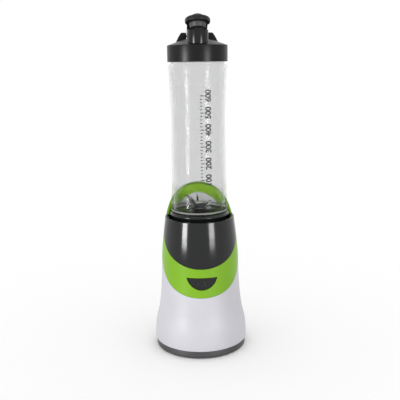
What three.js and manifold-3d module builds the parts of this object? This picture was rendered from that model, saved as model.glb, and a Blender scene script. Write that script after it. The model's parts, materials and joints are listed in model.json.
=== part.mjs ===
// Countertop bottle blender: motor base, lift-off bottle with its blade unit, and a lid with a flip stopper.
// Millimetres, +Z up, the front is -Y, the feet stand on z = 0 and the axis of the motor is x = y = 0.
import * as THREE from "three";
import { mergeVertices } from "three/addons/utils/BufferGeometryUtils.js";
import Module from "manifold-3d";

const wasm = await Module();
wasm.setup();

// ---------- driving dimensions ----------
const ROUND = 28; // facets of the large round pieces
const SMALL = 12; // facets of the small round pieces
const WALL = 2.6; // wall of the base
const SEAM = 0.15; // half the gap between two neighbouring shells

const FOOT_TOP = 9.2; // top of the dark foot ring
const INLET_Z = 17.5; // height of the cord gland

// Outside of the base: radius at rising heights.
const BODY = [
  [56.6, FOOT_TOP + 0.4],
  [56.75, 16],
  [55.5, 31],
  [51.3, 50],
  [48.8, 70],
  [47.5, 92],
  [46.7, 118],
  [44.2, 144],
  [41.9, 163],
  [40.4, 184],
  [39.8, 203],
];
const RIM = 163; // level rim of the dark front shell
const WELL_R = 37.2; // well the bottle drops into
const WELL_FLOOR = 148.5;

// The two edges of the coloured band, seen from the side: depth and height.
const BAND_TOP = [
  [-60, 101.6],
  [-47, 108.6],
  [-30, 120.5],
  [-15, 133.5],
  [0, 148.9],
  [10, 163],
  [20, 178],
  [29.5, 188.4],
  [39.5, 197.8],
  [60, 215],
];
const BAND_FOOT = [
  [-60, 69.7],
  [-47, 74.3],
  [-30, 85.3],
  [-15, 99.6],
  [0, 118.4],
  [12, 139],
  [23, 163.5],
  [31, 173.5],
  [40, 188.5],
  [60, 222],
];

const BUTTON = { r: 17.9, centre: 101.5, top: 97.7, gap: 0.45 };
const ICON_Z = 89.4;

const STACK = { z0: 73, z1: 103, half: 28, bore: 16.6 }; // motor laminations
const POLE_Y = 24.5; // the two long motor bolts stand at y = +-POLE_Y
const COVER_SCREW_R = 50;
const FOOT_R = 42;

const BOTTLE = { neck: 31.8, foot: 158.3, step: 169.4, shoulder: 343.5, mouth: 360.5 };
const COLLAR = { r: 35.6, z0: 152, z1: 169 };
const LUG_ANGLES = [90, 210, 330];

const LID = { r: 35.2, z0: 346.7, edge: 365.4, top: 372.6, flat: 14 };
const SPOUT = { y: -19, r: 11.9, bore: 10.2, top: 382 };
const PLATFORM = 170; // top of the blade unit inside the bottle
const PIN = { y: 10, z: 376.3, r: 1.5, half: 19.6 };
const STOPPER_OPEN = 15; // degrees the stopper stands open

// ---------- materials ----------
const paint = (color, roughness, metalness = 0) =>
  new THREE.MeshStandardMaterial({ color, roughness, metalness });
const WHITE = paint(0xe4e3ea, 0.35);
const GREEN = paint(0x8fcc2c, 0.32);
const DARK = paint(0x37393a, 0.22);
const BLACK = paint(0x1d1e1f, 0.5);
const RUBBER = paint(0x2a2a2b, 0.85);
const SILICONE = paint(0x9b9c9e, 0.6);
const CLEAR = paint(0xcfd3d4, 0.08);
const STEEL = paint(0xb9bcc0, 0.28, 1);
const LAMINATION = paint(0x7d8186, 0.5, 1);
const COPPER = paint(0xb5682f, 0.35, 1);
const CARBON = paint(0x2c2c2e, 0.7);
const BRONZE = paint(0xa98243, 0.4, 1);
const BOARD = paint(0x1e5a36, 0.55);

// ---------- solids ----------
function makeManifold(positions, triVerts) {
  return new wasm.Manifold(new wasm.Mesh({ numProp: 3, vertProperties: positions, triVerts }));
}

// A three.js geometry as a solid that faces out.
function solid(geometry) {
  const bare = geometry.clone();
  bare.deleteAttribute("normal");
  bare.deleteAttribute("uv");
  const merged = mergeVertices(bare, 1e-4);
  const positions = merged.attributes.position.array;
  const triVerts = new Uint32Array(merged.index.array);
  const made = makeManifold(positions, triVerts);
  return made.volume() < 0 ? makeManifold(positions, triVerts.reverse()) : made;
}

function toGeometry(body) {
  const mesh = body.getMesh();
  const geometry = new THREE.BufferGeometry();
  geometry.setAttribute("position", new THREE.BufferAttribute(mesh.vertProperties, 3));
  geometry.setIndex(new THREE.BufferAttribute(mesh.triVerts, 1));
  const flat = geometry.toNonIndexed();
  flat.computeVertexNormals();
  return flat;
}

const rad = (degrees) => (degrees * Math.PI) / 180;
const join = (...bodies) => bodies.reduce((all, next) => all.add(next));
const cut = (body, ...tools) => tools.reduce((left, tool) => left.subtract(tool), body);
const move = (body, x, y, z) => body.translate([x, y, z]);
const spin = (body, degrees) => body.rotate([0, 0, degrees]);

// Revolves an outline of [radius, height] about the Z axis.
function lathe(outline, facets = ROUND) {
  const points = outline.map(([r, z]) => new THREE.Vector2(r, z));
  const onAxis = outline[0][0] === 0 && outline.at(-1)[0] === 0;
  if (!onAxis) points.push(points[0].clone());
  return solid(new THREE.LatheGeometry(points, facets).rotateX(Math.PI / 2));
}

function rod(r, z0, z1, facets = SMALL) {
  return lathe([[0, z0], [r, z0], [r, z1], [0, z1]], facets);
}

function ring(rIn, rOut, z0, z1, facets = SMALL) {
  return lathe([[rIn, z0], [rOut, z0], [rOut, z1], [rIn, z1]], facets);
}

function box(x0, x1, y0, y1, z0, z1) {
  const block = new THREE.BoxGeometry(x1 - x0, y1 - y0, z1 - z0);
  return solid(block.translate((x0 + x1) / 2, (y0 + y1) / 2, (z0 + z1) / 2));
}

function extrude(shape, depth, curveSegments = 8) {
  return new THREE.ExtrudeGeometry(shape, { depth, bevelEnabled: false, curveSegments });
}

const polygon = (points) => new THREE.Shape(points.map(([u, v]) => new THREE.Vector2(u, v)));

// An outline of [x, y] standing between two heights.
function prismZ(shape, z0, z1, curveSegments) {
  return solid(extrude(shape, z1 - z0, curveSegments).translate(0, 0, z0));
}

// An outline of [y, z] running between two x.
function prismX(shape, x0, x1, curveSegments) {
  const turn = new THREE.Matrix4().makeBasis(
    new THREE.Vector3(0, 1, 0),
    new THREE.Vector3(0, 0, 1),
    new THREE.Vector3(1, 0, 0),
  );
  return solid(extrude(shape, x1 - x0, curveSegments).applyMatrix4(turn).translate(x0, 0, 0));
}

// An outline of [x, z] running from y0 in front to y1 behind it.
function prismY(shape, y0, y1, curveSegments) {
  const turn = new THREE.Matrix4().makeBasis(
    new THREE.Vector3(1, 0, 0),
    new THREE.Vector3(0, 0, 1),
    new THREE.Vector3(0, -1, 0),
  );
  return solid(extrude(shape, y1 - y0, curveSegments).applyMatrix4(turn).translate(0, y1, 0));
}

// A round bar along Y or X, through the point given.
const barY = (r, y0, y1, x, z, facets = SMALL) =>
  move(rod(r, -y1, -y0, facets).rotate([90, 0, 0]), x, 0, z);
const barX = (r, x0, x1, y, z, facets = SMALL) =>
  move(rod(r, x0, x1, facets).rotate([0, 90, 0]), 0, y, z);

// ---------- base shells ----------
const bodyCurve = new THREE.SplineCurve(BODY.map(([r, z]) => new THREE.Vector2(r, z)));

const girth = Math.max(...bodyCurve.getPoints(9).map((p) => p.x));

// The wall between two depths below the outside of the base.
function bodyWall(outer, inner) {
  const side = bodyCurve.getPoints(9);
  const outside = side.map((p) => [p.x - outer, p.y]);
  const inside = side.map((p) => [p.x - inner, p.y]).reverse();
  return lathe([...outside, ...inside]);
}

// Everything above an edge of the band.
function above(edge, offset) {
  const line = new THREE.SplineCurve(edge.map(([y, z]) => new THREE.Vector2(y, z + offset)));
  const points = line.getPoints(18).map((p) => [p.x, p.y]);
  points.push([60, 300], [-60, 300]);
  return prismX(polygon(points), -70, 70);
}

// The half-moon outline of the button, grown by a margin.
function halfMoon(margin) {
  const r = BUTTON.r + margin;
  const lift = Math.asin((BUTTON.centre - BUTTON.top - margin) / r);
  const shape = new THREE.Shape();
  shape.absarc(0, BUTTON.centre, r, -Math.PI + lift, -lift, false);
  shape.closePath();
  return shape;
}

function baseShell() {
  let shell = cut(bodyWall(0, WALL), above(BAND_FOOT, -SEAM));
  for (const angle of [45, 135, 225, 315]) {
    const boss = join(rod(4.2, FOOT_TOP + 0.5, 26, 10), box(0, 4.5, -1.2, 1.2, FOOT_TOP + 0.5, 22));
    const bored = cut(boss, rod(1.9, 7, 20, 8));
    shell = join(shell, spin(move(bored, COVER_SCREW_R, 0, 0), angle));
  }
  return cut(shell, barY(6.3, 40, 60, 0, INLET_Z));
}

function greenBand() {
  const band = bodyWall(0, WALL).intersect(above(BAND_FOOT, SEAM)).subtract(above(BAND_TOP, -SEAM));
  return cut(band, prismY(halfMoon(BUTTON.gap), -60, -30, 10));
}

function socketHousing() {
  const belowRim = rod(80, 0, RIM, 8);
  const frontShell = bodyWall(0, WALL).intersect(belowRim);
  const rimRing = lathe([[38, 157], [41.2, 157], [41.2, RIM], [38.6, RIM]]);
  const front = join(frontShell, rimRing).intersect(above(BAND_TOP, SEAM));
  const well = lathe([
    [5.2, WELL_FLOOR - 2.5],
    [38.9, WELL_FLOOR - 2.5],
    [38.9, RIM],
    [38.5, RIM],
    [WELL_R, RIM - 2.5],
    [WELL_R, WELL_FLOOR],
    [8.6, WELL_FLOOR],
    [8.6, 150.3],
    [7, 150.3],
    [7, 147.3],
    [5.2, 147.3],
  ]);
  let housing = join(well, front);
  for (const angle of LUG_ANGLES) {
    for (const side of [-8, 8]) {
      const rib = box(35.9, 37.8, -1, 1, WELL_FLOOR - 1, 158);
      housing = join(housing, spin(rib, angle + side));
    }
  }
  for (const y of [-POLE_Y, POLE_Y]) {
    const post = cut(rod(5, 121.3, WELL_FLOOR - 1, 16), rod(2.3, 121, 136, 12));
    housing = join(housing, move(post, 0, y, 0));
  }
  return housing;
}

function bottomCover() {
  let cover = lathe([
    [0, 0.8],
    [54.6, 0.8],
    [55.4, 1.6],
    [55, FOOT_TOP],
    [52.6, FOOT_TOP],
    [52.6, 3.3],
    [0, 3.3],
  ]);
  for (const angle of [45, 135, 225, 315]) {
    const boss = spin(move(rod(4.8, 3, FOOT_TOP, 10), COVER_SCREW_R - 2, 0, 0), angle);
    const bore = join(rod(3.8, 0, 4.2, 10), rod(1.9, 4, 11, 10));
    cover = cut(join(cover, boss), spin(move(bore, COVER_SCREW_R, 0, 0), angle));
  }
  for (const [x, y] of [[-20, 28], [20, 28], [-20, 42], [20, 42]]) {
    cover = join(cover, move(rod(2.6, 3, 11.7, 8), x, y, 0));
  }
  for (const angle of [0, 90, 180, 270]) {
    cover = cut(cover, spin(move(rod(8.3, 0, 2.2), FOOT_R, 0, 0), angle));
  }
  for (let i = 0; i < 8; i++) {
    cover = cut(cover, spin(box(10, 26, -1.6, 1.6, 0, 5), 45 * i + 22.5));
  }
  return cover;
}

const foot = (angle) =>
  spin(move(lathe([[0, 0], [7, 0], [8, 0.8], [8, 1.9], [0, 1.9]], SMALL), FOOT_R, 0, 0), angle);

// A screw with its head down: shank radius, head radius, the three heights, and a slot in the head.
function screw(r, head, z0, z1, z2) {
  const body = lathe([[0, z0], [head, z0], [head, z1], [r, z1], [r, z2], [0, z2]], 10);
  return cut(body, box(-head, head, -0.5, 0.5, z0 - 1, z0 + 0.8));
}

const coverScrew = (angle) => spin(move(screw(1.6, 3.4, 1.6, 3.9, 16), COVER_SCREW_R, 0, 0), angle);

function cordGland() {
  const gland = join(barY(6, 47.5, girth, 0, INLET_Z), barY(7.6, 47.5, 52.3, 0, INLET_Z));
  return cut(gland, barY(3.2, 50, 60, 0, INLET_Z, 12));
}

// ---------- motor ----------
function statorCore() {
  const outline = new THREE.Shape();
  const h = STACK.half;
  const c = 7;
  outline.moveTo(-h + c, -h);
  outline.absarc(h - c, -h + c, c, -Math.PI / 2, 0, false);
  outline.absarc(h - c, h - c, c, 0, Math.PI / 2, false);
  outline.absarc(-h + c, h - c, c, Math.PI / 2, Math.PI, false);
  outline.absarc(-h + c, -h + c, c, Math.PI, Math.PI * 1.5, false);
  let core = prismZ(outline, STACK.z0, STACK.z1, 4);
  core = cut(core, rod(STACK.bore, 70, 110, 24));
  for (const x of [-24.5, 17.3]) {
    for (const y of [-22, 10.6]) core = cut(core, box(x, x + 7.2, y, y + 11.4, 70, 110));
  }
  for (const y of [-POLE_Y, POLE_Y]) core = cut(core, move(rod(2.3, 70, 110, 12), 0, y, 0));
  return core;
}

// One field coil: a rectangular loop round its pole, with rounded corners outside.
function fieldCoil(side) {
  const loop = new THREE.Shape();
  const w = 21.6;
  const h = 23.3;
  const c = 6;
  loop.moveTo(-w + c, -h);
  loop.absarc(w - c, -h + c, c, -Math.PI / 2, 0, false);
  loop.absarc(w - c, h - c, c, 0, Math.PI / 2, false);
  loop.absarc(-w + c, h - c, c, Math.PI / 2, Math.PI, false);
  loop.absarc(-w + c, -h + c, c, Math.PI, Math.PI * 1.5, false);
  const block = prismX(loop, -3.3, 3.3, 4);
  const coil = cut(block, box(-5, 5, -10.9, 10.9, -15.3, 15.3));
  return move(coil, side * 20.9, 0, (STACK.z0 + STACK.z1) / 2);
}

function upperFrame() {
  let frame = box(-7, 7, -28, 28, 114.5, 117.7);
  for (const side of [-1, 1]) {
    const y = side * POLE_Y;
    frame = join(frame, box(-7, 7, y - 3.5, y + 3.5, 103.3, 117));
  }
  frame = join(frame, rod(12.5, 114.5, 124, 16));
  frame = cut(frame, rod(9.8, 118, 125, 16), rod(5, 110, 120));
  for (const y of [-POLE_Y, POLE_Y]) frame = cut(frame, move(rod(2.3, 100, 125, 12), 0, y, 0));
  return frame;
}

function lowerFrame() {
  let frame = join(box(-7, 7, -28, 28, 47, 50), box(-26, 26, -4, 4, 47, 50));
  for (const side of [-1, 1]) {
    const y = side * POLE_Y;
    frame = join(frame, box(-7, 7, y - 3.5, y + 3.5, 48, 72.7));
    frame = join(frame, box(side * 21 - 5, side * 21 + 5, -4, 4, 49, 53.9));
  }
  frame = join(frame, rod(12.5, 44, 53.4, 16));
  frame = cut(frame, rod(9.8, 43, 51.2, 16), rod(5, 45, 60));
  for (const y of [-POLE_Y, POLE_Y]) frame = cut(frame, move(rod(2.3, 40, 80, 12), 0, y, 0));
  return frame;
}

function brushHolder(side) {
  const block = box(10.5, 30, -5, 5, 54.2, 62.8);
  const holder = cut(block, box(9, 28, -3, 3, 55.5, 61.5));
  return side > 0 ? holder : spin(holder, 180);
}

const brush = (side) => spin(box(9.5, 27.4, -2.7, 2.7, 55.8, 61.2), side > 0 ? 0 : 180);
const bearing = (z0, z1) =>
  lathe([[4.3, z0], [9.5, z0], [9.5, z1], [4.3, z1]], 16);

function rotorCore() {
  let core = ring(4.3, 16, STACK.z0 + 0.2, STACK.z1 - 0.2, 24);
  for (let i = 0; i < 12; i++) core = cut(core, spin(box(12, 17, -1, 1, 70, 110), 30 * i + 5));
  return core;
}

const winding = (z0, z1) =>
  lathe([[5.6, z0], [12.4, z0], [14, z0 + 2], [14, z1 - 2], [12.4, z1], [5.6, z1]], 16);

function commutator() {
  let drum = ring(4.3, 9, 54, 63, 16);
  for (let i = 0; i < 12; i++) drum = cut(drum, spin(box(8.3, 10, -0.25, 0.25, 53, 61.5), 30 * i));
  return drum;
}

function coolingFan() {
  let fan = join(ring(4.3, 26, 28, 29.5, 24), ring(4.3, 7, 28, 40));
  for (let i = 0; i < 8; i++) {
    fan = join(fan, spin(box(6, 25.5, -0.7, 0.7, 29, 38.5), 45 * i));
  }
  return fan;
}

// The six-lobed outline of the drive, and of the socket that drops over it.
function star(offset) {
  const points = [];
  for (let i = 0; i < 36; i++) {
    const a = (i / 36) * 2 * Math.PI;
    const r = 6.6 + 1.1 * Math.cos(6 * a) + offset;
    points.push([r * Math.cos(a), r * Math.sin(a)]);
  }
  return polygon(points);
}

function driveCoupling() {
  const drive = join(rod(10, 150.8, 153, 16), prismZ(star(0), 152.5, 158.4));
  return cut(drive, rod(4.3, 150, 152.4));
}

function switchBracket() {
  const plate = box(-9, 9, -31.9, -30.2, 80, 145.7);
  const lip = box(-9, 9, -35.5, -30.2, 144, 145.7);
  return cut(join(plate, lip), barY(1.6, -40, -25, 0, 130, 12));
}

function buttonSwitch() {
  return join(box(-6, 6, -35.9, -32.2, 84, 96), barY(1.8, -36.3, -34, 0, 90, 12));
}

class Coil extends THREE.Curve {
  constructor(r, turns, y0, y1, z) {
    super();
    Object.assign(this, { r, turns, y0, y1, z });
  }
  getPoint(t, target = new THREE.Vector3()) {
    const a = t * this.turns * 2 * Math.PI;
    const y = this.y0 + (this.y1 - this.y0) * t;
    return target.set(this.r * Math.cos(a), y, this.z + this.r * Math.sin(a));
  }
}

function buttonSpring() {
  const wire = new THREE.Shape().absarc(0, 0, 0.35, 0, 2 * Math.PI, false);
  const extrudePath = new Coil(4.4, 3.5, -40.4, -36.7, 90);
  return solid(new THREE.ExtrudeGeometry(wire, { steps: 30, extrudePath, curveSegments: 2 }));
}

// ---------- button ----------
function powerButton() {
  const face = bodyWall(0.6, WALL + 0.6).intersect(prismY(halfMoon(0), -60, -30, 10));
  const flange = bodyWall(WALL + 0.4, WALL + 2).intersect(prismY(halfMoon(1.6), -60, -30, 10));
  const icon = join(powerRing(), box(-0.5, 0.5, -50, -46, ICON_Z + 1.2, ICON_Z + 5.2));
  const raised = bodyWall(0.3, 1).intersect(icon);
  const stem = barY(2.8, -44.5, -38.1, 0, 90, 16);
  return join(face, flange, raised, stem);
}

// The ring of the power symbol, open at its top.
function powerRing() {
  const whole = cut(barY(4.6, -50, -46, 0, ICON_Z, 16), barY(3.7, -51, -45, 0, ICON_Z, 18));
  return cut(whole, box(-1.5, 1.5, -51, -45, ICON_Z, ICON_Z + 6));
}

// ---------- bottle and blade unit ----------
function bottle() {
  const side = new THREE.SplineCurve(
    [[34.4, 175], [33.3, 195], [32.7, 235], [32.3, 285], [33.4, 314], [34.4, 331]].map(
      ([r, z]) => new THREE.Vector2(r, z),
    ),
  ).getPoints(6);
  return lathe([
    [BOTTLE.neck, BOTTLE.foot],
    [BOTTLE.neck, BOTTLE.step - 0.1],
    [33.2, BOTTLE.step],
    [34.2, 171.6],
    ...side.map((p) => [p.x, p.y]),
    [35.3, BOTTLE.shoulder - 0.5],
    [34.9, BOTTLE.shoulder],
    [32.9, BOTTLE.shoulder],
    [32.9, BOTTLE.mouth],
    [30.2, BOTTLE.mouth],
    [30.2, 347],
    [31.7, 339],
    ...side.map((p) => [p.x - 2.8, p.y]).reverse(),
    [29.4, 170.5],
    [29.4, BOTTLE.foot],
  ]);
}

function bladeCollar() {
  let collar = lathe([
    [26, COLLAR.z0],
    [COLLAR.r, COLLAR.z0],
    [COLLAR.r, 158],
    [COLLAR.r - 1.6, 159],
    [COLLAR.r - 1.6, 165],
    [COLLAR.r, 165.8],
    [COLLAR.r, COLLAR.z1 - 0.6],
    [COLLAR.r - 0.6, COLLAR.z1],
    [32.2, COLLAR.z1],
    [32.2, 156],
    [28.9, 156],
    [28.9, PLATFORM - 1.2],
    [27.7, PLATFORM],
    [9, PLATFORM],
    [8, PLATFORM + 1.6],
    [4.2, PLATFORM + 1.6],
    [4.2, PLATFORM + 0.7],
    [6.5, PLATFORM + 0.7],
    [6.5, 162.6],
    [10, 162.6],
    [10, 166],
    [26, 166],
  ]);
  const limit = rod(36.5, 150, 160);
  for (const angle of LUG_ANGLES) {
    const lug = box(34.5, 37, -3.4, 3.4, 153, 157).intersect(limit);
    collar = join(collar, spin(lug, angle));
  }
  return collar;
}

const bladeShaft = () =>
  lathe([
    [0, 160],
    [3.2, 160],
    [3.2, 172],
    [5.4, 172],
    [5.4, 172.9],
    [3.2, 172.9],
    [3.2, 180.2],
    [2.6, 180.8],
    [0, 180.8],
  ], 16);

// One bent wing: a strip that runs flat to `bend`, then rises at `angle`, ground to a point.
function wing(z, bend, length, angle, width) {
  const t = 1.3;
  const run = length * Math.cos(rad(angle));
  const rise = length * Math.sin(rad(angle));
  const lean = t * Math.tan(rad(angle / 2));
  const tip = bend + run;
  const nx = t * Math.sin(rad(angle));
  const nz = t * Math.cos(rad(angle));
  const side = polygon([
    [0, z],
    [bend, z],
    [tip, z + rise],
    [tip - nx, z + rise + nz],
    [bend - lean, z + t],
    [0, z + t],
  ]);
  const plan = polygon([
    [0, -width],
    [bend, -width],
    [tip, width * 0.2],
    [tip, width * 0.9],
    [bend, width],
    [0, width],
  ]);
  return prismY(side, -width - 1, width + 1).intersect(prismZ(plan, z - 30, z + 40));
}

// A blade on its hub, with two wings as [heading, bend, length, angle, half width].
function blade(z, ...wings) {
  const wingsUp = wings.map(([heading, ...form]) => spin(wing(z, ...form), heading));
  const hub = rod(6.4, z, z + 1.3, 16);
  return cut(join(hub, ...wingsUp), rod(3.5, z - 1, z + 3, 16));
}

function bladeNut() {
  const hexagon = [];
  for (let i = 0; i < 6; i++) hexagon.push([5.6 * Math.cos(rad(60 * i)), 5.6 * Math.sin(rad(60 * i))]);
  return cut(prismZ(polygon(hexagon), 178, 180.4), rod(3.5, 177, 182, 16));
}

function drivenCoupling() {
  const cup = rod(12, 153.6, 162.2, 16);
  return cut(cup, prismZ(star(0.45), 153, 158.9), rod(3.5, 159.7, 163, 16));
}

// ---------- lid and stopper ----------
// One hinge ear on its side of the lid: sloped outside, rounded top.
function ear(side) {
  const front = polygon([[12.4, 366], [25.4, 366], [24.8, 371], [18.4, 380.2], [12.4, 380.2]]);
  const block = prismY(front, 5, 15);
  const tab = new THREE.Shape();
  tab.moveTo(4.6, 366);
  tab.lineTo(15.4, 366);
  tab.lineTo(PIN.y + 3.9, PIN.z);
  tab.absarc(PIN.y, PIN.z, 3.9, 0, Math.PI, false);
  tab.closePath();
  const one = block.intersect(prismX(tab, 0, 30, 6));
  return side > 0 ? one : one.mirror([1, 0, 0]);
}

function lidCap() {
  const slope = (LID.top - LID.edge) / (LID.r - LID.flat);
  const under = (r) => LID.edge + (LID.r - r) * slope - 2.3;
  let lid = lathe([
    [33.3, LID.z0],
    [LID.r - 0.4, LID.z0],
    [LID.r, LID.z0 + 0.4],
    [LID.r, LID.edge],
    [LID.flat, LID.top],
    [0, LID.top],
    [0, LID.top - 2.3],
    [LID.flat, LID.top - 2.3],
    [29.5, under(29.5)],
    [29.5, 362.7],
    [33.3, 362.7],
  ]);
  const tube = move(rod(SPOUT.r, 365.6, SPOUT.top, 24), 0, SPOUT.y, 0);
  lid = join(lid, tube, ear(1), ear(-1));
  const bore = move(rod(SPOUT.bore, 355, 395, 24), 0, SPOUT.y, 0);
  return cut(lid, bore, barX(PIN.r + 0.3, -30, 30, PIN.y, PIN.z, 10));
}

// Turns a closed-stopper solid about the hinge pin to the standing angle.
function openUp(body) {
  const atPin = move(body, 0, -PIN.y, -PIN.z).rotate([-STOPPER_OPEN, 0, 0]);
  return move(atPin, 0, PIN.y, PIN.z);
}

function stopperCap() {
  const top = SPOUT.top;
  const disc = lathe([
    [0, top - 3.3],
    [6.2, top - 3.3],
    [6.2, top + 0.3],
    [14.1, top + 0.3],
    [14.5, top + 0.8],
    [14.5, top + 4.2],
    [13.3, top + 5.8],
    [6.2, top + 7.7],
    [5.8, top + 9],
    [4.6, top + 9.8],
    [0, top + 9.8],
  ], 24);
  const arm = polygon([
    [-12, top + 0.3],
    [-6, top + 0.3],
    [8.2, 373.7],
    [12.6, 378.2],
    [1, top + 3.4],
    [-12, top + 3.4],
  ]);
  const knuckle = barX(3.2, -11.8, 11.8, PIN.y, PIN.z);
  const strap = join(prismX(arm, -11.8, 11.8), knuckle);
  const whole = join(move(disc, 0, SPOUT.y, 0), strap);
  return openUp(cut(whole, barX(PIN.r + 0.3, -20, 20, PIN.y, PIN.z, 10)));
}

function plugSeal() {
  const top = SPOUT.top;
  const outline = [[6.5, top - 5.8], [8.6, top - 5.8], [9.8, top - 0.1], [6.5, top - 0.1]];
  return openUp(move(lathe(outline, 20), 0, SPOUT.y, 0));
}

// ---------- assembly ----------
const blender = new THREE.Group();
blender.name = "bottle_blender";

function add(name, body, material) {
  const mesh = new THREE.Mesh(toGeometry(body), material);
  mesh.name = name;
  blender.add(mesh);
}

// Base, fixed.
add("base_shell", baseShell(), WHITE);
add("green_band", greenBand(), GREEN);
add("socket_housing", socketHousing(), DARK);
add("bottom_cover", bottomCover(), BLACK);
add("cord_gland", cordGland(), RUBBER);
add("jar_cushion", ring(27.5, 34.5, WELL_FLOOR + 0.3, 151.7, 24), RUBBER);
add("well_seal", ring(4.4, 6.7, 147.6, 150.2), RUBBER);
[0, 90, 180, 270].forEach((angle, i) => add(`foot_${i + 1}`, foot(angle), RUBBER));
[45, 135, 225, 315].forEach((angle, i) => add(`cover_screw_${i + 1}`, coverScrew(angle), STEEL));

// Motor, fixed pieces.
add("stator_core", statorCore(), LAMINATION);
add("upper_frame", upperFrame(), LAMINATION);
add("lower_frame", lowerFrame(), LAMINATION);
add("upper_bearing", bearing(118.3, 123.7), STEEL);
add("lower_bearing", bearing(45, 50.9), STEEL);
for (const [side, name] of [[-1, "left"], [1, "right"]]) {
  add(`field_coil_${name}`, fieldCoil(side), COPPER);
  add(`brush_holder_${name}`, brushHolder(side), BRONZE);
  add(`brush_${name}`, brush(side), CARBON);
}
for (const [y, name] of [[-POLE_Y, "front"], [POLE_Y, "back"]]) {
  add(`motor_damper_${name}`, move(ring(2.5, 5.4, 118, 121, 16), 0, y, 0), RUBBER);
  add(`motor_bolt_${name}`, move(screw(1.9, 4, 43.4, 46.7, 134), 0, y, 0), STEEL);
}

// Electrics.
add("switch_bracket", switchBracket(), LAMINATION);
add("button_switch", buttonSwitch(), BLACK);
add("button_spring", buttonSpring(), STEEL);
add("control_board", box(-26, 26, 24, 46, 12, 13.6), BOARD);
add("capacitor", box(-20, -2, 30, 39, 13.9, 26), BRONZE);

// Rotor.
add("motor_shaft", rod(4, 26, 152), STEEL);
add("rotor_core", rotorCore(), LAMINATION);
add("rotor_winding_top", winding(103.3, 110.5), COPPER);
add("rotor_winding_bottom", winding(65.4, 72.7), COPPER);
add("commutator", commutator(), COPPER);
add("cooling_fan", coolingFan(), BLACK);
add("drive_coupling", driveCoupling(), RUBBER);

// Button.
add("power_button", powerButton(), DARK);

// Bottle and blade unit.
add("bottle", bottle(), CLEAR);
add("blade_collar", bladeCollar(), DARK);
add("bottle_gasket", ring(29.3, 31.8, 156.3, 158, 24), SILICONE);
add("bearing_bush", ring(3.5, 6.2, 163, 167.4), BRONZE);
add("shaft_seal", ring(3.5, 6.2, 167.7, 170.3), RUBBER);

// Blade.
add("blade_shaft", bladeShaft(), STEEL);
add("blade_lower", blade(173.2, [25, 15, 9.5, -8, 5.2], [205, 15, 9.5, -8, 5.2]), STEEL);
add("blade_cross", blade(174.8, [96, 9.6, 13, 64, 1.8], [278, 9, 9, 12, 4]), STEEL);
add("blade_upper", blade(176.4, [140, 8, 14.4, 44, 4.4], [320, 8, 11.5, 37, 3.6]), STEEL);
add("blade_nut", bladeNut(), STEEL);
add("driven_coupling", drivenCoupling(), RUBBER);

// Lid and stopper.
add("lid_cap", lidCap(), DARK);
add("lid_gasket", ring(30, 32.9, 360.8, 362.4, 24), SILICONE);
add("hinge_pin", barX(PIN.r, -PIN.half, PIN.half, PIN.y, PIN.z, 10), STEEL);
add("stopper_cap", stopperCap(), DARK);
add("plug_seal", plugSeal(), SILICONE);

export default blender;
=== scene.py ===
"""Countertop bottle blender: the visual model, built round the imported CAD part.

Lengths in the outlines are millimetres and are turned into metres when a mesh is made.
The front is -Y, up is +Z, and the axis of the motor is x = y = 0.
"""

import json
import math

import bmesh
import bpy
from mathutils import Matrix, Vector


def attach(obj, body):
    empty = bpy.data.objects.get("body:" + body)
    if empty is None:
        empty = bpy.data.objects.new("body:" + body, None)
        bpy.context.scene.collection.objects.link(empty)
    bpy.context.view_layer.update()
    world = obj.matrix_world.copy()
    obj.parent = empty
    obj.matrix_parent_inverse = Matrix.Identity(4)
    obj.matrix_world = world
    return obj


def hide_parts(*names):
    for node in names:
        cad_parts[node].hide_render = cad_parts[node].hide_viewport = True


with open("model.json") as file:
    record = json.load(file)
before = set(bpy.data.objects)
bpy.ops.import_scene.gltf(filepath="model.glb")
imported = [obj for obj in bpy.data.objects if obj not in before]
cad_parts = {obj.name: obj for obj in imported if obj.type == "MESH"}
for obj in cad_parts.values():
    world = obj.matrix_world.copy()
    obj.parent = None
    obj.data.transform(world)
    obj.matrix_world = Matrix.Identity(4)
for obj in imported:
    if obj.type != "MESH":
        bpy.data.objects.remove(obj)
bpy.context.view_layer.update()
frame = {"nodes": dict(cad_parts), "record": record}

MM = 0.001
WALL = 2.6  # thickness of the white shell and the band
RIM = 163  # top of the dark front shell
SEAM = 0.12  # half of the gap between neighbouring shells
EDGE = 0.45  # rounding of the shells' edges
WELL_R, WELL_FLOOR = 37.2, 148.5
INLET_Z = 17.5  # height of the cord's inlet at the back
FOOT_R, SCREW_R = 42, 50  # how far the rubber feet and the cover screws are from the axis
BUTTON_Z = 92.2  # middle of the button
SIGN_Z, SIGN_R = 89.4, 4.2  # ring of the power sign
NECK_R = 29.4  # bore of the bottle's foot
COLLAR_R, PLATFORM = 35.6, 170  # blade unit: outside, and top inside the bottle
LUG_ANGLES = (90, 210, 330)
SPINDLE_R = 3.2
BLADE_THICK = 1.25
LID_R, LID_TOP = 35.2, 372.6
SPOUT_Y, SPOUT_R, SPOUT_BORE, SPOUT_TOP = -19, 11.9, 10.2, 382
PIN_Y, PIN_Z, PIN_R = 10, 376.3, 1.5
HINGE_HALF = 11.8  # half width of the stopper's strap and knuckle
STOPPER_OPEN = math.radians(15)

# Outside of the base: (height, radius).
BODY = [
    (9.6, 56.4),
    (16, 56.62),
    (31, 55.4),
    (50, 51.3),
    (70, 48.8),
    (92, 47.5),
    (118, 46.7),
    (144, 44.2),
    (163, 41.9),
    (184, 40.4),
    (203, 39.8),
]
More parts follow.
